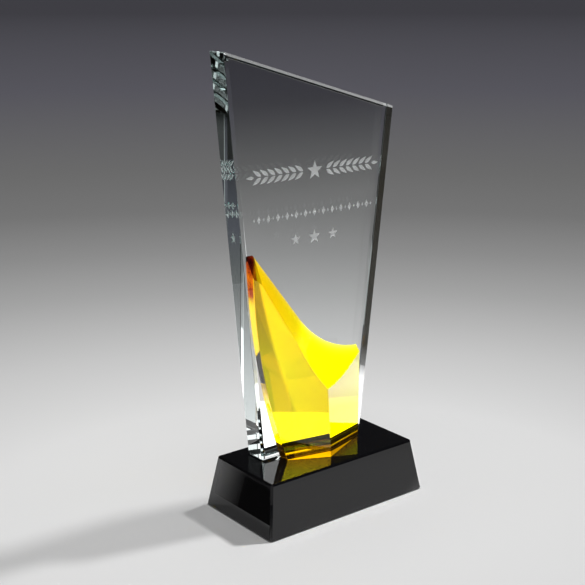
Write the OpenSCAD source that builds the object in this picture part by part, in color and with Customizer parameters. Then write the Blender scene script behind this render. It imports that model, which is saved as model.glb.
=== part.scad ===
// Crystal award: a clear plaque and a faceted amber accent bonded to a black plinth.
// Millimetres, +Z up, front towards -Y. The origin is the middle of the underside.

/* [Plinth] */
// Length of the plinth at its foot
plinth_length = 110; // [90:1:150]
// Depth of the plinth at its foot
plinth_depth = 60; // [54:1:90]
// Height of the plinth's top above the table
plinth_top = 30; // [22:1:45]
// How far each end leans in from foot to top
plinth_end_lean = 4.5; // [1:0.5:6]
// How far each long side leans in from foot to top
plinth_side_lean = 5; // [1:0.5:6]
// Polished chamfer along the plinth's edges
plinth_chamfer = 0.8; // [0.4:0.1:1.5]

/* [Underside pad] */
// Thickness of the soft pad that the award stands on
pad_thickness = 0.7; // [0.5:0.1:2]
// Bare margin of plinth around the pad
pad_margin = 3; // [2:0.5:8]
// Corner radius of the pad
pad_corner = 4; // [2:0.5:8]

/* [Plaque] */
// Thickness of the clear slab
plaque_thickness = 15; // [12:1:20]
// Width of the slab at its foot
plaque_foot = 71; // [64:1:78]
// Width of the slab at its top
plaque_crown = 114; // [112:1:124]
// Height of the high left corner above the table
plaque_left_top = 252; // [245:1:280]
// Height of the low right corner above the table
plaque_right_top = 218; // [212:1:240]
// Distance of the slab's front face behind the middle of the plinth
plaque_setback = 2.3; // [2:0.1:4]
// Polished chamfer around the slab's faces
plaque_chamfer = 1.5; // [0.8:0.1:2]
// Depth of the flat that takes off each sharp corner of the slab
corner_trim = 0.5; // [0.3:0.1:0.8]

/* [Etching] */
// Depth of the sandblasted ornament
etch_depth = 0.4; // [0.2:0.1:0.8]
// Height of the laurel row above the table
laurel_z = 188; // [180:1:195]
// Height of the beaded line above the table
beads_z = 165.5; // [160:0.5:175]
// Height of the stars above the table
stars_z = 152; // [150:0.5:156]

/* [Amber accent] */
// Left end of the accent's foot
accent_left = -24; // [-28:0.5:-20]
// Upright right end of the accent
accent_right = 31; // [28:0.5:34]
// Height of the spike's blunt tip above the table
accent_tip = 147.6; // [142:0.2:149]
// Radius of the bowed left flank
flank_radius = 400; // [380:5:420]
// Height at which the bowed flank stands upright
flank_upright = 162; // [155:1:170]
// Where the front ridge meets the foot, to the side
ridge_x = -2; // [-5:0.5:3]
// How far the ridge stands out in front of the slab at the foot
ridge_out = 18; // [14:0.5:20]
// Turn of the left front facet away from the slab
left_facet_turn = 26.7; // [22:0.1:28]
// Overhang of the left front facet
left_facet_lean = 5; // [4:0.5:6]
// Turn of the right front facet away from the slab
right_facet_turn = 24.4; // [20:0.1:25]

/* [Scooped top] */
// Radius of the scoop
scoop_radius = 85.5; // [80:0.5:95]
// Climb of the scoop's axis
scoop_climb = 46.2; // [44:0.1:48]
// Heading of the scoop's axis, from the right towards the back
scoop_heading = 65; // [63:0.5:67]
// Turn at which the scoop runs out into its straight flat
scoop_run_out = 52.8; // [50:0.1:56]
// Slope of the blunt facet on the tip
tip_slope = 60; // [55:1:65]

/* [Hidden] */

$fn = 96;
bond = 0.1;                                // thickness of every adhesive film
cut = 1;                                   // how far a cutter passes through a face
reach = 200;                               // size of a cutter that spans the whole award
scoop_point = [34.7, -62.6, 140.4];        // a point on the scoop's axis
scoop_flat = 70;                           // length of the straight flat
plinth_foot = pad_thickness + bond;
plaque_z = plinth_top + bond;
accent_z = plinth_top + bond;
accent_back = plaque_setback - bond;       // the accent's flat back
ridge_y = plaque_setback - ridge_out;
flank_x = accent_left
        + sqrt(flank_radius * flank_radius - pow(flank_upright - accent_z, 2));

// Height z of the slab, counted from its own foot
function above_foot(z) = z - plaque_z;

// Outline of the slab: x to the right, y up from its foot
plaque_outline = [
    [-plaque_foot / 2, 0],
    [plaque_foot / 2, 0],
    [plaque_crown / 2, above_foot(plaque_right_top)],
    [-plaque_crown / 2, above_foot(plaque_left_top)]
];

// Stands a flat drawing up so that its y becomes height and it faces the front
module upright(y = 0, z = 0) translate([0, y, z]) rotate([90, 0, 0]) children();

// ---- Plinth and pad ----

// Slab that leans in on both sides, endless along its heading, with chamfered shoulders
module leaning_slab(heading, foot_half, top_half, chamfer) {
    lean = (foot_half - top_half) / (plinth_top - plinth_foot);
    rotate([0, 0, heading])
        upright()
            linear_extrude(2 * reach, center = true)
                polygon([
                    [-foot_half, plinth_foot],
                    [foot_half, plinth_foot],
                    [top_half + lean * chamfer, plinth_top - chamfer],
                    [top_half - chamfer, plinth_top],
                    [-top_half + chamfer, plinth_top],
                    [-top_half - lean * chamfer, plinth_top - chamfer]
                ]);
}

module plinth() {
    half_x = plinth_length / 2;
    half_y = plinth_depth / 2;
    top_x = half_x - plinth_end_lean;
    top_y = half_y - plinth_side_lean;
    // distances of the sloping corner edges from the middle
    foot_corner = (half_x + half_y) / sqrt(2) - plinth_chamfer;
    top_corner = (top_x + top_y) / sqrt(2) - plinth_chamfer;
    color([0.05, 0.05, 0.06])
        intersection() {
            leaning_slab(0, half_x, top_x, plinth_chamfer);
            leaning_slab(90, half_y, top_y, plinth_chamfer);
            leaning_slab(45, foot_corner, top_corner, 0);
            leaning_slab(-45, foot_corner, top_corner, 0);
        }
}

// Flat sheet under the plinth with rounded corners
module underside_sheet(z, thickness) {
    length = plinth_length - 2 * pad_margin;
    depth = plinth_depth - 2 * pad_margin;
    translate([0, 0, z])
        linear_extrude(thickness) {
            square([length - 2 * pad_corner, depth], center = true);
            square([length, depth - 2 * pad_corner], center = true);
            for (x = [-1, 1], y = [-1, 1])
                translate([x * (length / 2 - pad_corner), y * (depth / 2 - pad_corner)])
                    circle(pad_corner);
        }
}

module base_pad() color([0.1, 0.1, 0.11]) underside_sheet(0, pad_thickness);

module pad_adhesive() color([0.85, 0.83, 0.75]) underside_sheet(pad_thickness, bond);

// ---- Plaque ----

// Diamond-section cutter along the edge from p to q
module edge_cutter(p, q, leg) {
    run = q - p;
    translate([p.x, p.y, 0])
        rotate([0, 0, atan2(run.y, run.x)])
            translate([norm(run) / 2, 0, 0])
                rotate([45, 0, 0])
                    cube([norm(run) + 8 * leg, leg * sqrt(2), leg * sqrt(2)], center = true);
}

// Cutter that takes the sharp corner at p off a plate, square to the corner's bisector
module corner_cutter(p, before, after, trim, thickness) {
    inward = (before - p) / norm(before - p) + (after - p) / norm(after - p);
    side = 10 * trim;
    translate([p.x, p.y, -cut])
        rotate([0, 0, atan2(inward.y, inward.x)])
            translate([trim - side, -side / 2, 0])
                cube([side, side, thickness + 2 * cut]);
}

// Plate with a chamfer along every edge of its two faces and its corners trimmed
module chamfered_plate(outline, thickness, leg, trim) {
    count = len(outline);
    difference() {
        linear_extrude(thickness) polygon(outline);
        for (i = [0 : count - 1]) {
            p = outline[i];
            next = outline[(i + 1) % count];
            for (face = [0, thickness])
                translate([0, 0, face]) edge_cutter(p, next, leg);
            corner_cutter(p, outline[(i + count - 1) % count], next, trim, thickness);
        }
    }
}

// Pointed leaf that starts at the origin and lies along x
module leaf(length, width)
    polygon([[0, 0], [0.3 * length, -width / 2], [0.6 * length, -0.42 * width], [length, 0],
             [0.6 * length, 0.42 * width], [0.3 * length, width / 2]]);

// Five-pointed star
module star(radius)
    polygon([for (i = [0 : 9])
        let (r = i % 2 == 0 ? radius : 0.42 * radius)
            r * [sin(36 * i), cos(36 * i)]]);

module lozenge(width, height)
    polygon([[-width / 2, 0], [0, -height / 2], [width / 2, 0], [0, height / 2]]);

// Two laurel sprays that grow outwards from a star
module laurel_row() {
    star(5.2);
    for (side = [0, 1])
        mirror([side, 0]) {
            for (i = [0 : 6], up = [-1, 1])
                translate([8 + 4.6 * i, 0.35 * up])
                    rotate(33 * up)
                        leaf(6.4, 2.1);
            translate([40.2, 0]) leaf(5, 1.8);
        }
}

// Line of large and small lozenges
module bead_row()
    for (i = [-13 : 13])
        translate([3.1 * i, 0])
            if (i % 2 == 0) lozenge(2.4, 4.2);
            else lozenge(1.2, 1.8);

module star_row() for (i = [-1 : 1]) translate([13 * i, 0]) star(i == 0 ? 4 : 3.2);

module etching()
    translate([0, 0, plaque_thickness - etch_depth])
        linear_extrude(etch_depth + cut) {
            translate([0, above_foot(laurel_z)]) laurel_row();
            translate([0, above_foot(beads_z)]) bead_row();
            translate([0, above_foot(stars_z)]) star_row();
        }

module crystal_plaque()
    color([0.85, 0.93, 0.92, 0.5])
        upright(plaque_setback + plaque_thickness, plaque_z)
            difference() {
                chamfered_plate(plaque_outline, plaque_thickness, plaque_chamfer, corner_trim);
                etching();
            }

// ---- Amber accent ----

// Front view of the accent, before its top is scooped
module accent_outline()
    intersection() {
        translate([accent_right - reach, accent_z])
            square([reach, accent_tip - accent_z]);
        translate([flank_x, flank_upright])
            circle(flank_radius, $fn = 360);
    }

// Everything behind an upright or leaning facet that passes through the ridge's foot
module behind_facet(turn, lean)
    translate([ridge_x, ridge_y, plinth_top])
        rotate([lean, 0, turn])
            translate([-reach, 0, -reach])
                cube(2 * reach);

// Concave cutter: a round channel that runs out into a straight flat
module scoop()
    translate(scoop_point)
        rotate([0, 90 - scoop_climb, scoop_heading])
            linear_extrude(reach, center = true) {
                circle(scoop_radius, $fn = 180);
                rotate(scoop_run_out) square([scoop_radius, scoop_flat]);
            }

module blunt_tip()
    translate([-reach / 2, accent_back, accent_tip])
        rotate([tip_slope, 0, 0])
            translate([0, -reach / 2, 0])
                cube(reach);

module amber_accent()
    color([0.95, 0.72, 0.1, 0.8])
        difference() {
            intersection() {
                upright(accent_back) linear_extrude(2 * ridge_out) accent_outline();
                behind_facet(-left_facet_turn, left_facet_lean);
                behind_facet(right_facet_turn, 0);
            }
            scoop();
            blunt_tip();
        }

// ---- Adhesive films ----

// Film between the slab's foot and the plinth, inside the foot's chamfers
module plaque_bond()
    color([0.9, 0.95, 1, 0.4])
        translate([plaque_chamfer - plaque_foot / 2, plaque_setback + plaque_chamfer, plinth_top])
            cube([plaque_foot - 2 * plaque_chamfer, plaque_thickness - 2 * plaque_chamfer, bond]);

// Film under the accent, with the outline of its foot
module accent_foot_bond()
    color([1, 0.9, 0.7, 0.4])
        intersection() {
            translate([accent_left, accent_back - 2 * ridge_out, plinth_top])
                cube([accent_right - accent_left, 2 * ridge_out, bond]);
            behind_facet(-left_facet_turn, 0);
            behind_facet(right_facet_turn, 0);
        }

// Film between the accent's back and the slab's face, inside the foot's chamfer
module accent_back_bond()
    color([1, 0.9, 0.7, 0.4])
        difference() {
            intersection() {
                upright(plaque_setback) linear_extrude(bond) accent_outline();
                translate([-reach / 2, 0, plaque_z + plaque_chamfer]) cube(reach);
            }
            scoop();
            blunt_tip();
        }

base_pad();
pad_adhesive();
plinth();
plaque_bond();
crystal_plaque();
accent_foot_bond();
accent_back_bond();
amber_accent();
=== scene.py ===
"""The looks of the crystal award: a clear slab and an amber accent on a black plinth.

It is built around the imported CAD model, in the same frame. A number followed by MM is in
millimetres, an angle is in degrees, and every other length is in metres.
"""
import math

import bmesh
import bpy
from mathutils import Matrix, Vector


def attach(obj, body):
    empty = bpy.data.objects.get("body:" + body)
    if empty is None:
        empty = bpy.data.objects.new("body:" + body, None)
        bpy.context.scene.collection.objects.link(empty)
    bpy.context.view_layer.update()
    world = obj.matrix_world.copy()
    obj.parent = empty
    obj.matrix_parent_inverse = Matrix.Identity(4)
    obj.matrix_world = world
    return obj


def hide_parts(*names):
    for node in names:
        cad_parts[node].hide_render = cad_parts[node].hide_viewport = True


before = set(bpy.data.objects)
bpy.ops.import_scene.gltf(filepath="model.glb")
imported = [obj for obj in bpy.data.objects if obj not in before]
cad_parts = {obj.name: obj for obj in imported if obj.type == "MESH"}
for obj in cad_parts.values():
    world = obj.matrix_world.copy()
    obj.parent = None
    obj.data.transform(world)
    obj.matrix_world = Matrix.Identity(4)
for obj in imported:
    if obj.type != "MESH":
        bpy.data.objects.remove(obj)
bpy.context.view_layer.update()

MM = 0.001
UP = Vector((0, 0, 1))
FORWARD = Vector((0, -1, 0))      # the way the award faces

# ---- The award's dimensions, as in the CAD model ----

PLINTH_LENGTH, PLINTH_DEPTH, PLINTH_TOP = 110 * MM, 60 * MM, 30 * MM
PLINTH_END_LEAN, PLINTH_SIDE_LEAN, PLINTH_CHAMFER = 4.5 * MM, 5 * MM, 0.8 * MM
PAD_THICKNESS, PAD_MARGIN, PAD_CORNER = 0.7 * MM, 3 * MM, 4 * MM
BOND = 0.1 * MM
CRYSTAL_FOOT = PLINTH_TOP + BOND

SLAB_THICKNESS, SLAB_FOOT, SLAB_CROWN = 15 * MM, 71 * MM, 114 * MM
SLAB_LEFT_TOP, SLAB_RIGHT_TOP = 252 * MM, 218 * MM
SLAB_FRONT = 2.3 * MM
SLAB_BACK = SLAB_FRONT + SLAB_THICKNESS
SLAB_CHAMFER, CORNER_TRIM = 1.5 * MM, 0.5 * MM

ACCENT_LEFT, ACCENT_RIGHT, ACCENT_TIP = -24 * MM, 31 * MM, 147.6 * MM
ACCENT_BACK = SLAB_FRONT - BOND
FLANK_RADIUS, FLANK_UPRIGHT = 400 * MM, 162 * MM
RIDGE = Vector((-2 * MM, SLAB_FRONT - 18 * MM, PLINTH_TOP))
LEFT_FACET_TURN, LEFT_FACET_LEAN, RIGHT_FACET_TURN = -26.7, 5, 24.4
SCOOP_POINT = Vector((34.7, -62.6, 140.4)) * MM
SCOOP_RADIUS, SCOOP_FLAT = 85.5 * MM, 70 * MM
SCOOP_CLIMB, SCOOP_HEADING, SCOOP_RUN_OUT = 46.2, 65, 52.8
TIP_SLOPE = 60

# ---- The sandblasted ornament ----

ETCH_DEPTH, LAUREL_Z, BEADS_Z, STARS_Z = 0.4 * MM, 188 * MM, 165.5 * MM, 152 * MM
LAUREL_STAR, MIDDLE_STAR, SIDE_STAR, STAR_PITCH = 5.2 * MM, 4 * MM, 3.2 * MM, 13 * MM
STAR_WAIST = 0.42                                     # inner radius as a share of the outer
LEAF, END_LEAF = (6.4 * MM, 2.1 * MM), (5 * MM, 1.8 * MM)       # length and width
LEAF_PAIRS, LEAF_START, LEAF_PITCH = 7, 8 * MM, 4.6 * MM
LEAF_SPREAD, LEAF_GAP, END_LEAF_X = 33, 0.35 * MM, 40.2 * MM
BEADS_EACH_SIDE, BEAD_PITCH = 13, 3.1 * MM
LARGE_BEAD, SMALL_BEAD = (2.4 * MM, 4.2 * MM), (1.2 * MM, 1.8 * MM)
# the x, y and z ranges that hold the recesses' faces and no others
RECESSES = ((-46 * MM, 46 * MM), (SLAB_FRONT + 0.02 * MM, SLAB_FRONT + 0.45 * MM),
            (STARS_Z - 6 * MM, LAUREL_Z + 8 * MM))

# ---- How the meshes are made ----

REACH = 200 * MM          # the length of a cutter that spans the accent
CLEAR_FRONT = -40 * MM    # where a block starts that its facets then cut back
CONTACT = 0.01 * MM       # how far films reach past, or stay short of, a crystal's face
FILM_INSET = 0.998        # the share of the accent's outline that its back film covers
CREASE = 6                # faces that meet at less than this angle shade as one
SLAB_ARRIS, ACCENT_ARRIS, PLINTH_ARRIS, PAD_ARRIS = 0.12 * MM, 0.1 * MM, 0.15 * MM, 0.12 * MM
ARRIS_ANGLE, ARRIS_SEGMENTS = 12, 2


# ---- Mesh tools ----

def turn(x=0.0, y=0.0, z=0.0):
    """Rotation by degrees about X, then Y, then Z."""
    return (Matrix.Rotation(math.radians(z), 3, "Z")
            @ Matrix.Rotation(math.radians(y), 3, "Y")
            @ Matrix.Rotation(math.radians(x), 3, "X"))


def block(low, high):
    """A closed box as a bmesh, to be cut to shape."""
    bm = bmesh.new()
    bmesh.ops.create_cube(bm, size=1.0)
    for v in bm.verts:
        v.co = Vector(lo + (hi - lo) * (c + 0.5) for lo, hi, c in zip(low, high, v.co))
    return bm


def clip(bm, point, outward):
    """Cuts off what lies beyond a plane and closes the cut."""
    geom = bm.verts[:] + bm.edges[:] + bm.faces[:]
    cut = bmesh.ops.bisect_plane(bm, geom=geom, dist=1e-8, plane_co=point,
                                 plane_no=outward, clear_outer=True)
    rim = [e for e in cut["geom_cut"] if isinstance(e, bmesh.types.BMEdge)]
    if rim:
        bmesh.ops.edgenet_fill(bm, edges=rim)


def prism(outline, place):
    """A closed prism. place(x, y, side) puts an outline point on the near (0) or far (1) side."""
    bm = bmesh.new()
    near = [bm.verts.new(place(x, y, 0)) for x, y in outline]
    far = [bm.verts.new(place(x, y, 1)) for x, y in outline]
    bm.faces.new(near)
    bm.faces.new(reversed(far))
    for i in range(len(outline)):
        j = (i + 1) % len(outline)
        bm.faces.new((near[j], near[i], far[i], far[j]))
    return bm


def sheet(corners):
    """A single flat face."""
    bm = bmesh.new()
    bm.faces.new([bm.verts.new(corner) for corner in corners])
    return bm


def mark_creases(bm):
    """Shades faces as one where they meet at less than the crease angle."""
    for face in bm.faces:
        face.smooth = True
    for edge in bm.edges:
        edge.smooth = edge.is_manifold and edge.calc_face_angle(0) < math.radians(CREASE)


def finished(bm, name, material):
    """Turns a bmesh into a piece."""
    bmesh.ops.recalc_face_normals(bm, faces=bm.faces[:])
    mark_creases(bm)
    mesh = bpy.data.meshes.new(name)
    bm.to_mesh(mesh)
    bm.free()
    mesh.materials.append(material)
    piece = bpy.data.objects.new(name, mesh)
    bpy.context.scene.collection.objects.link(piece)
    return piece


def recrease(piece):
    """Marks the piece's edges sharp or smooth again after its shape has changed."""
    bm = bmesh.new()
    bm.from_mesh(piece.data)
    mark_creases(bm)
    bm.to_mesh(piece.data)
    bm.free()


def apply_modifiers(piece):
    """Keeps the modifiers' result as the piece's own mesh."""
    graph = bpy.context.evaluated_depsgraph_get()
    mesh = bpy.data.meshes.new_from_object(piece.evaluated_get(graph))
    piece.modifiers.clear()
    piece.data = mesh


def carve(piece, cutter):
    """Takes the cutter's volume out of the piece."""
    cut = piece.modifiers.new("cut", "BOOLEAN")
    cut.operation = "DIFFERENCE"
    cut.solver = "EXACT"
    cut.use_self = True
    cut.object = cutter
    apply_modifiers(piece)
    bpy.data.objects.remove(cutter)


def soften(piece, width):
    """Rounds off the polished edges very slightly."""
    bevel = piece.modifiers.new("arris", "BEVEL")
    bevel.width = width
    bevel.segments = ARRIS_SEGMENTS
    bevel.limit_method = "ANGLE"
    bevel.angle_limit = math.radians(ARRIS_ANGLE)
    bevel.use_clamp_overlap = True
    apply_modifiers(piece)


# ---- Material tools ----

def new_material(name):
    """An empty node material, its node tree and its Principled shader."""
    material = bpy.data.materials.new(name)
    material.use_nodes = True
    shader = material.node_tree.nodes["Principled BSDF"]
    return material, material.node_tree, shader


def node(tree, kind, **values):
    """A node, with its inputs set by name (spaces written as underscores) or its settings."""
    made = tree.nodes.new(kind)
    for key, value in values.items():
        socket = key.replace("_", " ")
        if socket in made.inputs:
            made.inputs[socket].default_value = value
        else:
            setattr(made, key, value)
    return made


def position(tree):
    """Place in the piece's own frame, which is the award's."""
    return node(tree, "ShaderNodeTexCoord").outputs["Object"]


def ramp(tree, source, low, high, from_low=0.0, from_high=1.0):
    """Maps a value from one range to another, clamped."""
    made = node(tree, "ShaderNodeMapRange", From_Min=from_low, From_Max=from_high,
                To_Min=low, To_Max=high)
    tree.links.new(source, made.inputs["Value"])
    return made.outputs["Result"]


def rise(tree, source, start, end):
    """Goes from 0 to 1 as the source goes from start to end."""
    return ramp(tree, source, 0.0, 1.0, start, end)


def fall(tree, source, start, end):
    """Goes from 1 to 0 as the source goes from start to end."""
    return ramp(tree, source, 1.0, 0.0, start, end)


def combined(tree, operation, values):
    """The values' product or sum, by a Math node's operation."""
    result = values[0]
    for value in values[1:]:
        both = node(tree, "ShaderNodeMath", operation=operation)
        tree.links.new(result, both.inputs[0])
        tree.links.new(value, both.inputs[1])
        result = both.outputs["Value"]
    return result


def product(tree, *values):
    return combined(tree, "MULTIPLY", values)


def total(tree, *values):
    return combined(tree, "ADD", values)


def dot(tree, vector, direction):
    """How far a vector reaches along a direction."""
    made = node(tree, "ShaderNodeVectorMath", operation="DOT_PRODUCT")
    made.inputs[1].default_value = direction
    tree.links.new(vector, made.inputs[0])
    return made.outputs["Value"]


def blend(tree, factor, first, second):
    """Mix of two colours. Each is a colour or a socket."""
    made = node(tree, "ShaderNodeMix", data_type="RGBA")
    for name, value in (("A", first), ("B", second)):
        if isinstance(value, tuple):
            made.inputs[name].default_value = (*value, 1.0)
        else:
            tree.links.new(value, made.inputs[name])
    tree.links.new(factor, made.inputs["Factor"])
    return made.outputs["Result"]


def noise(tree, scale, detail=3.0, roughness=0.55, distortion=0.0):
    """Noise in object space. scale counts features per metre."""
    made = node(tree, "ShaderNodeTexNoise", Scale=scale, Detail=detail, Roughness=roughness,
                Distortion=distortion)
    tree.links.new(position(tree), made.inputs["Vector"])
    return made.outputs["Fac"]


def bump(tree, shader, height, strength, distance):
    """Fine relief."""
    made = node(tree, "ShaderNodeBump", Strength=strength, Distance=distance)
    tree.links.new(height, made.inputs["Height"])
    tree.links.new(made.outputs["Normal"], shader.inputs["Normal"])


def absorb(tree, color, density):
    """Tints light by the depth of crystal that it crosses."""
    made = node(tree, "ShaderNodeVolumeAbsorption", Color=color, Density=density)
    tree.links.new(made.outputs["Volume"], tree.nodes["Material Output"].inputs["Volume"])


# ---- Materials ----

CRYSTAL_IOR = 1.52
FACING = (0.9, 0.95)      # the cosines over which a face comes to count as facing a direction

# painted shade: the broad faces darkened towards the crown, and the left end darker still near its
# top
CROWN_PAINTED_SHADE, CROWN_SHADE_Z = (0.42, 0.42, 0.43), (172 * MM, 225 * MM)
CORNER_PAINTED_SHADE, CORNER_SHADE_Z = (0.10, 0.11, 0.11), (212 * MM, 220 * MM)

# the amber's dye, deeper towards the spike, and a deeper orange band just above the foot
AMBER_DYE, SPIKE_DYE, FOOT_ORANGE = (1.0, 0.96, 0.12), (1.0, 0.68, 0.07), (1.0, 0.55, 0.03)
SPIKE_DYE_Z, FOOT_ORANGE_Z = (85 * MM, 125 * MM), (33 * MM, 37 * MM)
# painted shade: mottled dark reds on the tip's left flank, the heights where they come in, and the
# flank's reach
TIP_SHADE_REDS, TIP_SHADE_Z = ((0.08, 0.002, 0.0), (0.42, 0.04, 0.0)), (121 * MM, 126 * MM)
TIP_FLANK, TIP_FLANK_REACH = (0.786, -0.619, 0), (-33.8 * MM, -33.0 * MM)


def polished_crystal(name, volume_color, volume_density):
    """Polished crystal, clear but for its volume's tint, with faint smudges."""
    material, tree, shader = new_material(name)
    shader.inputs["Base Color"].default_value = (1.0, 1.0, 1.0, 1.0)
    shader.inputs["Transmission Weight"].default_value = 1.0
    shader.inputs["IOR"].default_value = CRYSTAL_IOR
    smudges = ramp(tree, noise(tree, 26, 5.0), 0.0, 0.03, 0.62, 0.8)
    tree.links.new(smudges, shader.inputs["Roughness"])
    absorb(tree, volume_color, volume_density)
    return material, tree, shader


def clear_crystal():
    """Clear crystal with painted shade: its broad faces, and its left end more so, pass less light
    at the crown.
    """
    material, tree, shader = polished_crystal("clear_crystal", (0.55, 0.93, 0.9, 1.0), 2.5)
    height = dot(tree, position(tree), UP)
    facing = node(tree, "ShaderNodeNewGeometry").outputs["True Normal"]
    front_or_back = node(tree, "ShaderNodeMath", operation="ABSOLUTE")
    tree.links.new(dot(tree, facing, FORWARD), front_or_back.inputs[0])
    # painted shade on the front and back faces, growing towards the crown
    crown = product(tree, rise(tree, height, *CROWN_SHADE_Z),
                    rise(tree, front_or_back.outputs["Value"], *FACING))
    # painted shade on the left end near its top, over its bright inner reflections
    corner = product(tree, rise(tree, height, *CORNER_SHADE_Z),
                     rise(tree, dot(tree, facing, (-1, 0, 0)), *FACING))
    shade_tint = blend(tree, crown, (1.0, 1.0, 1.0), CROWN_PAINTED_SHADE)
    shade_tint = blend(tree, corner, shade_tint, CORNER_PAINTED_SHADE)
    tree.links.new(shade_tint, shader.inputs["Base Color"])
    return material


def amber_crystal():
    """Amber crystal: orange at the foot, dyed deeper towards the spike, and painted dark red shade
    on the tip's left flank.
    """
    material, tree, shader = polished_crystal("amber_crystal", (0.9967, 0.986, 0.0, 1.0), 900.0)
    place = position(tree)
    height = dot(tree, place, UP)
    amber_colour = blend(tree, rise(tree, height, *SPIKE_DYE_Z), AMBER_DYE, SPIKE_DYE)
    amber_colour = blend(tree, fall(tree, height, *FOOT_ORANGE_Z), amber_colour, FOOT_ORANGE)
    # painted shade: mottled dark reds, laid only on the tip's left flank
    red = blend(tree, rise(tree, noise(tree, 180), 0.45, 0.7), *TIP_SHADE_REDS)
    tip = product(tree, rise(tree, height, *TIP_SHADE_Z),
                  fall(tree, dot(tree, place, TIP_FLANK), *TIP_FLANK_REACH))
    tree.links.new(blend(tree, tip, amber_colour, red), shader.inputs["Base Color"])
    return material


def frosted_etch():
    """Sandblasted recess: white, rough and sparkling with fine grain."""
    material, tree, shader = new_material("frosted_etch")
    grain = noise(tree, 9000, 2.0)
    shader.inputs["Base Color"].default_value = (0.92, 0.94, 0.94, 1.0)
    shader.inputs["Transmission Weight"].default_value = 0.35
    shader.inputs["IOR"].default_value = CRYSTAL_IOR
    tree.links.new(ramp(tree, grain, 0.55, 0.85), shader.inputs["Roughness"])
    bump(tree, shader, grain, 0.6, 0.05 * MM)
    return material


def black_crystal():
    """Polished black crystal, opaque, with faint dust and smudges."""
    material, tree, shader = new_material("black_crystal")
    shader.inputs["Base Color"].default_value = (0.004, 0.004, 0.005, 1.0)
    shader.inputs["IOR"].default_value = CRYSTAL_IOR
    smudges = ramp(tree, noise(tree, 30, 5.0), 0.0, 0.06, 0.5, 0.8)
    tree.links.new(smudges, shader.inputs["Roughness"])
    bump(tree, shader, noise(tree, 60, 2.0), 0.02, 0.05 * MM)
    return material


def bond_film():
    """Cured adhesive film. It bends light as a thin gap does, so a polished foot on it mirrors."""
    material, tree, shader = new_material("clear_bond")
    shader.inputs["Transmission Weight"].default_value = 1.0
    shader.inputs["IOR"].default_value = 1.0
    tree.links.new(ramp(tree, noise(tree, 90, 2.0), 0.97, 1.0), shader.inputs["Base Color"])
    shader.inputs["Roughness"].default_value = 0.0
    return material


def pad_felt():
    """Short black flock."""
    material, tree, shader = new_material("pad_felt")
    fibres = noise(tree, 5200, 4.0, 0.7, 0.8)
    tree.links.new(blend(tree, fibres, (0.006, 0.006, 0.007), (0.045, 0.045, 0.05)),
                   shader.inputs["Base Color"])
    shader.inputs["Roughness"].default_value = 0.95
    shader.inputs["Sheen Weight"].default_value = 0.4
    shader.inputs["Sheen Roughness"].default_value = 0.4
    bump(tree, shader, fibres, 0.8, 0.15 * MM)
    return material


def pad_glue():
    """Dull yellowish adhesive, slightly mottled."""
    material, tree, shader = new_material("pad_glue")
    tree.links.new(blend(tree, noise(tree, 700), (0.45, 0.43, 0.36), (0.62, 0.60, 0.52)),
                   shader.inputs["Base Color"])
    shader.inputs["Roughness"].default_value = 0.5
    return material


# ---- Plinth and pad ----

def plinth_mesh():
    """Low frustum: leaning sides, cut corners, and a chamfer round the top."""
    foot = PAD_THICKNESS + BOND
    half_x, half_y = PLINTH_LENGTH / 2, PLINTH_DEPTH / 2
    tall = PLINTH_TOP - foot
    bm = block((-half_x, -half_y, foot), (half_x, half_y, PLINTH_TOP))
    corner = (half_x + half_y) / math.sqrt(2) - PLINTH_CHAMFER
    corner_lean = (PLINTH_END_LEAN + PLINTH_SIDE_LEAN) / math.sqrt(2)
    walls = [(heading, half, lean) for half, lean, headings in (
        (half_x, PLINTH_END_LEAN, (0, 180)),
        (half_y, PLINTH_SIDE_LEAN, (90, 270)),
        (corner, corner_lean, (45, 135, 225, 315))) for heading in headings]
    for heading, half, lean in walls:
        away = turn(z=heading) @ Vector((1, 0, 0))
        clip(bm, away * half + Vector((0, 0, foot)), away * tall + Vector((0, 0, lean)))
        if heading % 90 == 0:
            top = half - lean - PLINTH_CHAMFER
            clip(bm, away * top + Vector((0, 0, PLINTH_TOP)),
                 turn(z=heading) @ Vector((1, 0, 1)))
    return bm


def rounded_sheet(low_z, high_z):
    """Flat sheet under the plinth with rounded corners."""
    half_x = PLINTH_LENGTH / 2 - PAD_MARGIN - PAD_CORNER
    half_y = PLINTH_DEPTH / 2 - PAD_MARGIN - PAD_CORNER
    steps = 12
    outline = []
    for quarter, (sx, sy) in enumerate(((1, 1), (-1, 1), (-1, -1), (1, -1))):
        for i in range(steps + 1):
            a = math.radians(90 * (quarter + i / steps))
            outline.append((sx * half_x + PAD_CORNER * math.cos(a),
                            sy * half_y + PAD_CORNER * math.sin(a)))
    return prism(outline, lambda x, y, side: (x, y, high_z if side else low_z))


# ---- Slab ----

def slab_mesh():
    """The slab with its chamfers and trimmed corners."""
    outline = [Vector((-SLAB_FOOT / 2, CRYSTAL_FOOT)), Vector((SLAB_FOOT / 2, CRYSTAL_FOOT)),
               Vector((SLAB_CROWN / 2, SLAB_RIGHT_TOP)), Vector((-SLAB_CROWN / 2, SLAB_LEFT_TOP))]
    bm = prism([tuple(p) for p in outline],
               lambda x, z, side: (x, SLAB_BACK if side else SLAB_FRONT, z))
    for i, p in enumerate(outline):
        after, before = outline[(i + 1) % len(outline)], outline[i - 1]
        run = (after - p).normalized()
        away = Vector((run.y, -run.x))
        for face, sign in ((SLAB_FRONT, -1), (SLAB_BACK, 1)):
            edge = p - away * SLAB_CHAMFER
            clip(bm, Vector((edge.x, face, edge.y)), Vector((away.x, sign, away.y)))
        inward = (run + (before - p).normalized()).normalized()
        corner = p + inward * CORNER_TRIM
        clip(bm, Vector((corner.x, SLAB_FRONT, corner.y)), Vector((-inward.x, 0, -inward.y)))
    return bm


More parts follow.
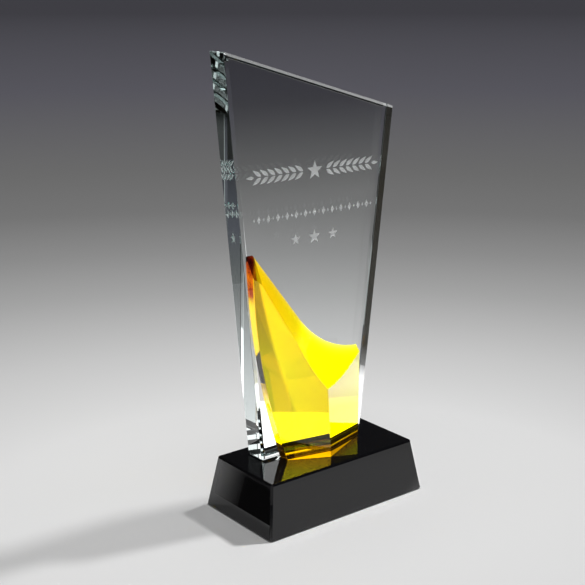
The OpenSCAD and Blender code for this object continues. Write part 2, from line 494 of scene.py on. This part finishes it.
def leaf(length, width):
    """Pointed leaf that starts at the origin and lies along x."""
    half = [(0.12, 0.26), (0.3, 0.5), (0.45, 0.49), (0.62, 0.39), (0.8, 0.22)]
    lower = [(u * length, -v * width) for u, v in half]
    upper = [(u * length, v * width) for u, v in reversed(half)]
    return [(0.0, 0.0)] + lower + [(length, 0.0)] + upper


def star(radius):
    """Star of five points, one of them up."""
    points = []
    for i in range(10):
        r = radius if i % 2 == 0 else STAR_WAIST * radius
        a = math.radians(90 + 36 * i)
        points.append((r * math.cos(a), r * math.sin(a)))
    return points


def lozenge(width, height):
    return [(-width / 2, 0.0), (0.0, -height / 2), (width / 2, 0.0), (0.0, height / 2)]


def placed(shape, x, z, heading=0.0):
    """The shape turned to a heading, with its origin at x, z."""
    c, s = math.cos(math.radians(heading)), math.sin(math.radians(heading))
    return [(x + c * u - s * v, z + s * u + c * v) for u, v in shape]


def ornament():
    """Outlines of the sandblasted laurel row, beaded line and stars."""
    shapes = [placed(star(LAUREL_STAR), 0, LAUREL_Z)]
    for side, sign in ((0, 1), (180, -1)):
        for i in range(LEAF_PAIRS):
            for up in (-1, 1):
                shapes.append(placed(leaf(*LEAF), sign * (LEAF_START + LEAF_PITCH * i),
                                     LAUREL_Z + LEAF_GAP * up, side + sign * LEAF_SPREAD * up))
        shapes.append(placed(leaf(*END_LEAF), sign * END_LEAF_X, LAUREL_Z, side))
    for i in range(-BEADS_EACH_SIDE, BEADS_EACH_SIDE + 1):
        bead = LARGE_BEAD if i % 2 == 0 else SMALL_BEAD
        shapes.append(placed(lozenge(*bead), BEAD_PITCH * i, BEADS_Z))
    for i in (-1, 0, 1):
        shapes.append(placed(star(MIDDLE_STAR if i == 0 else SIDE_STAR), STAR_PITCH * i, STARS_Z))
    return shapes


def etch_cutter():
    """Prisms that sink the ornament into the slab's front face."""
    whole = bmesh.new()
    for outline in ornament():
        part = prism(outline, lambda x, z, side: (
            x, SLAB_FRONT + ETCH_DEPTH if side else SLAB_FRONT - 1 * MM, z))
        bmesh.ops.recalc_face_normals(part, faces=part.faces[:])
        mesh = bpy.data.meshes.new("part")
        part.to_mesh(mesh)
        part.free()
        whole.from_mesh(mesh)
        bpy.data.meshes.remove(mesh)
    return whole


def make_slab(crystal, frost):
    slab = finished(slab_mesh(), "Crystal_plaque", crystal)
    soften(slab, SLAB_ARRIS)
    carve(slab, finished(etch_cutter(), "etch_cutter", crystal))
    recrease(slab)
    slab.data.materials.append(frost)
    for face in slab.data.polygons:
        if all(low < c < high for c, (low, high) in zip(face.center, RECESSES)):
            face.material_index = 1
    return slab


# ---- Amber accent ----

def amber_prism(front, back):
    """Prism of the accent's front view: straight on the right, bowed on the left."""
    bow_x = ACCENT_LEFT + math.sqrt(FLANK_RADIUS ** 2 - (FLANK_UPRIGHT - CRYSTAL_FOOT) ** 2)
    steps = 72
    outline = [(ACCENT_RIGHT, CRYSTAL_FOOT), (ACCENT_RIGHT, ACCENT_TIP)]
    for i in range(steps + 1):
        z = ACCENT_TIP + (CRYSTAL_FOOT - ACCENT_TIP) * i / steps
        outline.append((bow_x - math.sqrt(FLANK_RADIUS ** 2 - (FLANK_UPRIGHT - z) ** 2), z))
    return prism(outline, lambda x, z, side: (x, back if side else front, z))


def facet_normals():
    """Outward normals of the two front facets."""
    return (turn(x=LEFT_FACET_LEAN, z=LEFT_FACET_TURN) @ FORWARD,
            turn(z=RIGHT_FACET_TURN) @ FORWARD)


def clip_tip(bm):
    """Cuts the accent's tip blunt."""
    clip(bm, Vector((0, ACCENT_BACK, ACCENT_TIP)), turn(x=TIP_SLOPE) @ UP)


def scoop_cutter(material):
    """Round channel that runs out into a straight flat."""
    overlap = math.degrees(math.acos(SCOOP_FLAT / SCOOP_RADIUS))
    last = SCOOP_RUN_OUT + 90 - overlap - 360
    steps = 320
    outline = []
    for i in range(steps + 1):
        a = math.radians(SCOOP_RUN_OUT + (last - SCOOP_RUN_OUT) * i / steps)
        outline.append((SCOOP_RADIUS * math.cos(a), SCOOP_RADIUS * math.sin(a)))
    a = math.radians(SCOOP_RUN_OUT)
    outline.append((SCOOP_RADIUS * math.cos(a) - SCOOP_FLAT * math.sin(a),
                    SCOOP_RADIUS * math.sin(a) + SCOOP_FLAT * math.cos(a)))
    tilt = turn(y=90 - SCOOP_CLIMB, z=SCOOP_HEADING)
    bm = prism(outline, lambda x, y, side:
               SCOOP_POINT + tilt @ Vector((x, y, (side - 0.5) * REACH)))
    return finished(bm, "scoop_cutter", material)


def make_accent(amber):
    bm = amber_prism(CLEAR_FRONT, ACCENT_BACK)
    for normal in facet_normals():
        clip(bm, RIDGE, normal)
    clip_tip(bm)
    accent = finished(bm, "Amber_accent", amber)
    carve(accent, scoop_cutter(amber))
    soften(accent, ACCENT_ARRIS)
    recrease(accent)
    return accent


def make_back_bond(bond):
    """Film between accent and slab, down to the slab's foot chamfer, just clear of both."""
    bm = amber_prism(ACCENT_BACK + CONTACT, SLAB_FRONT - CONTACT)
    clip(bm, Vector((0, 0, CRYSTAL_FOOT + SLAB_CHAMFER)), -UP)
    clip_tip(bm)
    film = finished(bm, "Accent_back_bond", bond)
    carve(film, scoop_cutter(bond))
    recrease(film)
    middle = sum((v.co for v in film.data.vertices), Vector()) / len(film.data.vertices)
    for v in film.data.vertices:
        v.co.x = middle.x + (v.co.x - middle.x) * FILM_INSET
        v.co.z = middle.z + (v.co.z - middle.z) * FILM_INSET
    return film


def make_accent_foot_bond(bond):
    """Film under the accent, cut off upright below the leaning left facet."""
    bm = block((ACCENT_LEFT, CLEAR_FRONT, PLINTH_TOP),
               (ACCENT_RIGHT, ACCENT_BACK, CRYSTAL_FOOT + CONTACT))
    for heading in (LEFT_FACET_TURN, RIGHT_FACET_TURN):
        clip(bm, RIDGE, turn(z=heading) @ FORWARD)
    return finished(bm, "Accent_foot_bond", bond)


def make_plaque_bond(bond):
    """Film under the slab's foot, inside its chamfers."""
    half = SLAB_FOOT / 2 - SLAB_CHAMFER
    bm = block((-half, SLAB_FRONT + SLAB_CHAMFER, PLINTH_TOP),
               (half, SLAB_BACK - SLAB_CHAMFER, CRYSTAL_FOOT + CONTACT))
    return finished(bm, "Plaque_bond", bond)


# ---- The award ----

def fasten(piece, cad_node):
    """The piece moves with the award's one body and stands for a CAD node."""
    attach(piece, "root")
    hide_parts(cad_node)


def build_award():
    film = bond_film()
    crystal = clear_crystal()
    plinth = finished(plinth_mesh(), "Plinth", black_crystal())
    soften(plinth, PLINTH_ARRIS)
    recrease(plinth)
    fasten(plinth, "plinth")
    pad = finished(rounded_sheet(0, PAD_THICKNESS), "Base_pad", pad_felt())
    soften(pad, PAD_ARRIS)
    recrease(pad)
    fasten(pad, "base_pad")
    glue_mesh = rounded_sheet(PAD_THICKNESS, PAD_THICKNESS + BOND)
    fasten(finished(glue_mesh, "Pad_adhesive", pad_glue()), "pad_adhesive")
    fasten(make_slab(crystal, frosted_etch()), "crystal_plaque")
    fasten(make_plaque_bond(film), "plaque_bond")
    fasten(make_accent(amber_crystal()), "amber_accent")
    fasten(make_accent_foot_bond(film), "accent_foot_bond")
    fasten(make_back_bond(film), "accent_back_bond")


# ---- Camera ----

CAMERA_AZIMUTH, CAMERA_ELEVATION = -38.21, 15.39
CAMERA_PLACE = Vector((-390.07, -474.04, 289.89)) * MM
CAMERA_LENS, CAMERA_SENSOR = 71.8, 36                 # in millimetres
VIEW_HEADING = Vector((-math.sin(math.radians(CAMERA_AZIMUTH)),
                       math.cos(math.radians(CAMERA_AZIMUTH)), 0))


def make_camera():
    data = bpy.data.cameras.new("Camera")
    data.lens = CAMERA_LENS
    data.sensor_width = CAMERA_SENSOR
    data.clip_start, data.clip_end = 0.01, 100
    camera = bpy.data.objects.new("Camera", data)
    camera.location = CAMERA_PLACE
    camera.rotation_euler = (math.radians(90 - CAMERA_ELEVATION), 0,
                             math.radians(CAMERA_AZIMUTH))
    bpy.context.scene.collection.objects.link(camera)
    bpy.context.scene.camera = camera


# ---- Studio tools ----

def tone_at(tree, distance, tones):
    """Looks a tone up by distance. tones lists (distance, (r, g, b)) pairs.

    The stops are placed by the root of the distance, which leaves the near ones more room."""
    reach = tones[-1][0]
    share = node(tree, "ShaderNodeMath", operation="DIVIDE")
    share.inputs[1].default_value = reach
    tree.links.new(distance, share.inputs[0])
    root = node(tree, "ShaderNodeMath", operation="SQRT")
    tree.links.new(share.outputs["Value"], root.inputs[0])
    curve = node(tree, "ShaderNodeValToRGB")
    stops = curve.color_ramp.elements
    while len(stops) < len(tones):
        stops.new(1.0)
    for stop, (place, tone) in zip(stops, tones):
        stop.position = math.sqrt(place / reach)
        stop.color = (*tone, 1.0)
    tree.links.new(root.outputs["Value"], curve.inputs["Fac"])
    return curve.outputs["Color"]


def grey_tones(tree, distance, tones):
    return tone_at(tree, distance, [(place, (tone, tone, tone)) for place, tone in tones])


def spread(tree, center, heading=Vector((1, 0, 0)), wide=1.0):
    """Distance over the floor from center, with heading's crosswise part multiplied by wide."""
    offset = node(tree, "ShaderNodeVectorMath", operation="SUBTRACT")
    offset.inputs[1].default_value = center
    tree.links.new(node(tree, "ShaderNodeNewGeometry").outputs["Position"], offset.inputs[0])
    offset = offset.outputs["Vector"]
    both = node(tree, "ShaderNodeCombineXYZ")
    tree.links.new(dot(tree, offset, heading), both.inputs["X"])
    sideways = Vector((heading.y, -heading.x, 0)) * wide
    tree.links.new(dot(tree, offset, sideways), both.inputs["Y"])
    far = node(tree, "ShaderNodeVectorMath", operation="LENGTH")
    tree.links.new(both.outputs["Vector"], far.inputs[0])
    return far.outputs["Value"]


def area_light(name, place, size, radiance, target):
    """Rectangular light of even brightness that shines at target."""
    data = bpy.data.lights.new(name, "AREA")
    data.shape = "RECTANGLE"
    data.size, data.size_y = size
    data.energy = radiance * math.pi * size[0] * size[1]
    light = bpy.data.objects.new(name, data)
    light.location = place
    toward = Vector(target) - Vector(place)
    light.rotation_euler = toward.to_track_quat("-Z", "Y").to_euler()
    light.visible_camera = False
    bpy.context.scene.collection.objects.link(light)
    return light


# ---- Floor and world ----

FLOOR_HALF, FLOOR_WIDE = 30.0, 0.8
# the floor's painted light falloff, as its tone by distance from the award, and the violet that it
# takes on further out
FLOOR_PAINTED_FALLOFF = ((0.0, 0.80), (0.15, 0.74), (0.27, 0.595), (0.45, 0.39), (0.61, 0.285),
               (0.83, 0.202), (1.14, 0.18), (2.37, 0.142), (8.0, 0.081))
FLOOR_VIOLET, VIOLET_FROM = 0.16, 1.2

WORLD_BEHIND, WORLD_IN_FRONT, WORLD_TURN = 0.02, 0.36, (0.2, 0.9)


def make_floor():
    """Studio floor with painted light falloff: pale near the award, falling off into a slightly
    violet grey.
    """
    material, tree, shader = new_material("floor")
    paint = []
    for place, tone in FLOOR_PAINTED_FALLOFF:
        violet = FLOOR_VIOLET if place > VIOLET_FROM else 0.0
        paint.append((place, (tone, tone * (1 - 0.1 * violet), tone * (1 + violet))))
    tree.links.new(tone_at(tree, spread(tree, (0, 0, 0), VIEW_HEADING, FLOOR_WIDE), paint),
                   shader.inputs["Base Color"])
    shader.inputs["Roughness"].default_value = 0.9
    shader.inputs["Specular IOR Level"].default_value = 0.0
    corners = [(x * FLOOR_HALF, y * FLOOR_HALF, 0)
               for x, y in ((-1, -1), (1, -1), (1, 1), (-1, 1))]
    finished(sheet(corners), "Floor", material)


def make_world():
    """Dark behind the award and dim in front."""
    world = bpy.data.worlds.new("Studio")
    bpy.context.scene.world = world
    world.use_nodes = True
    tree = world.node_tree
    place = node(tree, "ShaderNodeTexCoord").outputs["Generated"]
    front = ramp(tree, dot(tree, place, -VIEW_HEADING), WORLD_BEHIND, WORLD_IN_FRONT,
                 *WORLD_TURN)
    tree.links.new(front, tree.nodes["Background"].inputs["Color"])


# ---- Lights ----

KEY_DIRECTION, KEY_ANGLE = Vector((0.59, -0.11, 0.80)), 5
KEY_STRENGTH, CRYSTAL_KEY_STRENGTH = 1.2, 0.9
SOFTBOX_HEIGHT, SOFTBOX_SIDE, SOFTBOX_RADIANCE = 1.6, 1.2, 2.4

CARD_DISTANCE, CARD_TARGET = 1.5, (0, 0, PLINTH_TOP)
# name, heading, size and radiance
CARDS = (("Right_card", (0.827, 0.356, 0.435), (0.35, 0.25), 1.8),
         ("Front_card", (0.543, -0.748, 0.38), (0.6, 0.6), 1.2),
         ("End_card", (0.543, 0.748, 0.38), (0.6, 0.6), 1.2),
         ("Back_card", (0.267, 0.887, 0.378), (0.3, 0.12), 0.7))

# the foot of its middle, half its length, and the heights between which it fades in and out
BACK_FLAG = ((-0.19, 0.33, 0), (0.09, 0.078, 0), (-0.03, 0.02, 0.22, 0.32))
LOW_FLAG = ((-0.075, 0, 0), (0, 0.05, 0), (-0.02, -0.01, 0.018, 0.03))

# The glow's parts. Tones go by distance from the part's middle. A pair says where a border
# starts and where it is complete, along the view, to the right of it, or along a line given.
GLOW_SIDE, GLOW_HEIGHT = 2.0, 0.5 * MM
TABLE_GLOW, TABLE_NEAR, TABLE_FAR, TABLE_LEFT = 1.3, (0.0, 0.02), (0.153, 0.158), (-0.075, -0.05)
SWEEP_NEAR, SWEEP_TONES = (0.02, 0.05), ((0, 0.5), (0.2, 0.5), (0.5, 1.2), (0.7, 1.2), (0.9, 0.0))
SWEEP_ACROSS, SWEEP_STARTS = (0.593, -0.805, 0), (-0.02, -0.008)
SWEEP_FAINT, SWEEP_BRIGHTENS = 0.1, (0.003, 0.006)
SWEEP_ALONG, SWEEP_END = (-0.375, 0.927, 0), (-0.005, 0.01)
PATCH_MIDDLE, PATCH_WIDE = (0.27, -0.03, 0), 1.5
PATCH_TONES = ((0, 1.4), (0.08, 1.4), (0.12, 0.0))
STRIP_MIDDLE, STRIP_HEADING, STRIP_WIDE = (-0.07, 0.165, 0), Vector((0.78, 0.63, 0)), 0.4
STRIP_TONES = ((0, 0.6), (0.07, 0.6), (0.09, 0.0))


def make_glow():
    """Glow that lies on the floor behind the award and shows only in and through the crystal.

    It is a white table that ends in a straight edge, a sweep of backdrop beyond it that
    starts faint and brightens, a patch to the right that the accent's right facet mirrors,
    and a strip that the slab's lower right end bends into view."""
    glow = area_light("Glow", (0, 0, GLOW_HEIGHT), (GLOW_SIDE, GLOW_SIDE), 1.0, UP)
    glow.visible_diffuse = False
    glow.data.use_nodes = True
    tree = glow.data.node_tree
    place = node(tree, "ShaderNodeNewGeometry").outputs["Position"]
    away = dot(tree, place, VIEW_HEADING)
    right = dot(tree, place, (VIEW_HEADING.y, -VIEW_HEADING.x, 0))
    table = product(tree, ramp(tree, away, 0.0, TABLE_GLOW, *TABLE_NEAR),
                    fall(tree, away, *TABLE_FAR), rise(tree, right, *TABLE_LEFT))
    across = dot(tree, place, SWEEP_ACROSS)
    sweep = product(tree, rise(tree, away, *SWEEP_NEAR),
                    ramp(tree, across, SWEEP_FAINT, 1.0, *SWEEP_BRIGHTENS),
                    rise(tree, across, *SWEEP_STARTS),
                    rise(tree, dot(tree, place, SWEEP_ALONG), *SWEEP_END),
                    grey_tones(tree, spread(tree, (0, 0, 0)), SWEEP_TONES))
    patch = grey_tones(tree, spread(tree, PATCH_MIDDLE, wide=PATCH_WIDE), PATCH_TONES)
    strip = grey_tones(tree, spread(tree, STRIP_MIDDLE, STRIP_HEADING, STRIP_WIDE), STRIP_TONES)
    tree.links.new(total(tree, table, sweep, patch, strip),
                   tree.nodes["Emission"].inputs["Strength"])


def make_key(name, strength, blockers=None):
    """Small light from the right, a little to the front. Blockers, if given, alone shade it."""
    data = bpy.data.lights.new(name, "SUN")
    data.energy = strength
    data.angle = math.radians(KEY_ANGLE)
    key = bpy.data.objects.new(name, data)
    key.rotation_euler = KEY_DIRECTION.to_track_quat("Z", "Y").to_euler()
    bpy.context.scene.collection.objects.link(key)
    if blockers:
        shade = bpy.data.collections.new(name + "_blockers")
        for blocker in blockers:
            shade.objects.link(blocker)
        key.light_linking.blocker_collection = shade


def make_card(name, heading, size, radiance):
    """Distant white card out of the camera's view, which the crystals' feet mirror."""
    card = area_light(name, Vector(heading) * CARD_DISTANCE, size, radiance, CARD_TARGET)
    card.visible_diffuse = False
    card.visible_glossy = False


def make_flag(name, foot, side, heights):
    """Dark board with soft borders that camera, diffuse and shadow rays pass through, so it shows
    only as painted shade in reflections and through the crystal.

    It is solid between the two middle heights and along the middle half of its length."""
    low, full_low, full_high, high = heights
    foot, side = Vector(foot), Vector(side)
    board = sheet([foot + side * x + Vector((0, 0, z))
                   for x, z in ((-1, low), (1, low), (1, high), (-1, high))])
    material, tree, shader = new_material(name + "_painted_shade_board")
    # the board's dark colour is painted shade for what the crystals and plinth mirror
    shader.inputs["Base Color"].default_value = (0.03, 0.027, 0.018, 1.0)
    shader.inputs["Roughness"].default_value = 1.0
    shader.inputs["Specular IOR Level"].default_value = 0.0
    along = dot(tree, position(tree), side.normalized())
    height = dot(tree, position(tree), UP)
    middle, wide = foot.dot(side.normalized()), side.length
    cover = product(tree, rise(tree, along, middle - wide, middle - wide / 2),
                    fall(tree, along, middle + wide / 2, middle + wide),
                    rise(tree, height, low, full_low),
                    fall(tree, height, full_high, high))
    tree.links.new(cover, shader.inputs["Alpha"])
    flag = finished(board, name, material)
    flag.visible_camera = False
    flag.visible_diffuse = False
    flag.visible_shadow = False
    return flag


def make_studio():
    make_camera()
    make_floor()
    # darkens what the slab's right end mirrors
    make_flag("Back_flag", *BACK_FLAG)
    # darkens what the plinth's left end mirrors
    low_flag = make_flag("Low_flag", *LOW_FLAG)
    low_flag.visible_transmission = False
    make_world()
    make_key("Key", KEY_STRENGTH)
    # lightens the crystal's shadow, but not the plinth's
    make_key("Key_through_crystal", CRYSTAL_KEY_STRENGTH, [bpy.data.objects["Plinth"]])
    make_glow()
    for card in CARDS:
        make_card(*card)
    softbox = area_light("Softbox", (0, 0, SOFTBOX_HEIGHT), (SOFTBOX_SIDE, SOFTBOX_SIDE),
                         SOFTBOX_RADIANCE, (0, 0, 0))
    softbox.visible_transmission = False


def set_rendering():
    """Enough bounces for stacked crystal, and plain colours."""
    scene = bpy.context.scene
    scene.view_settings.view_transform = "Standard"
    scene.view_settings.look = "None"
    cycles = scene.cycles
    cycles.max_bounces = 32
    cycles.transmission_bounces = 28
    cycles.glossy_bounces = 7
    cycles.diffuse_bounces = 3
    cycles.transparent_max_bounces = 16
    cycles.caustics_reflective = True
    cycles.caustics_refractive = True
    cycles.blur_glossy = 0.0
    cycles.sample_clamp_indirect = 8.0
    cycles.use_denoising = True


build_award()
make_studio()
set_rendering()
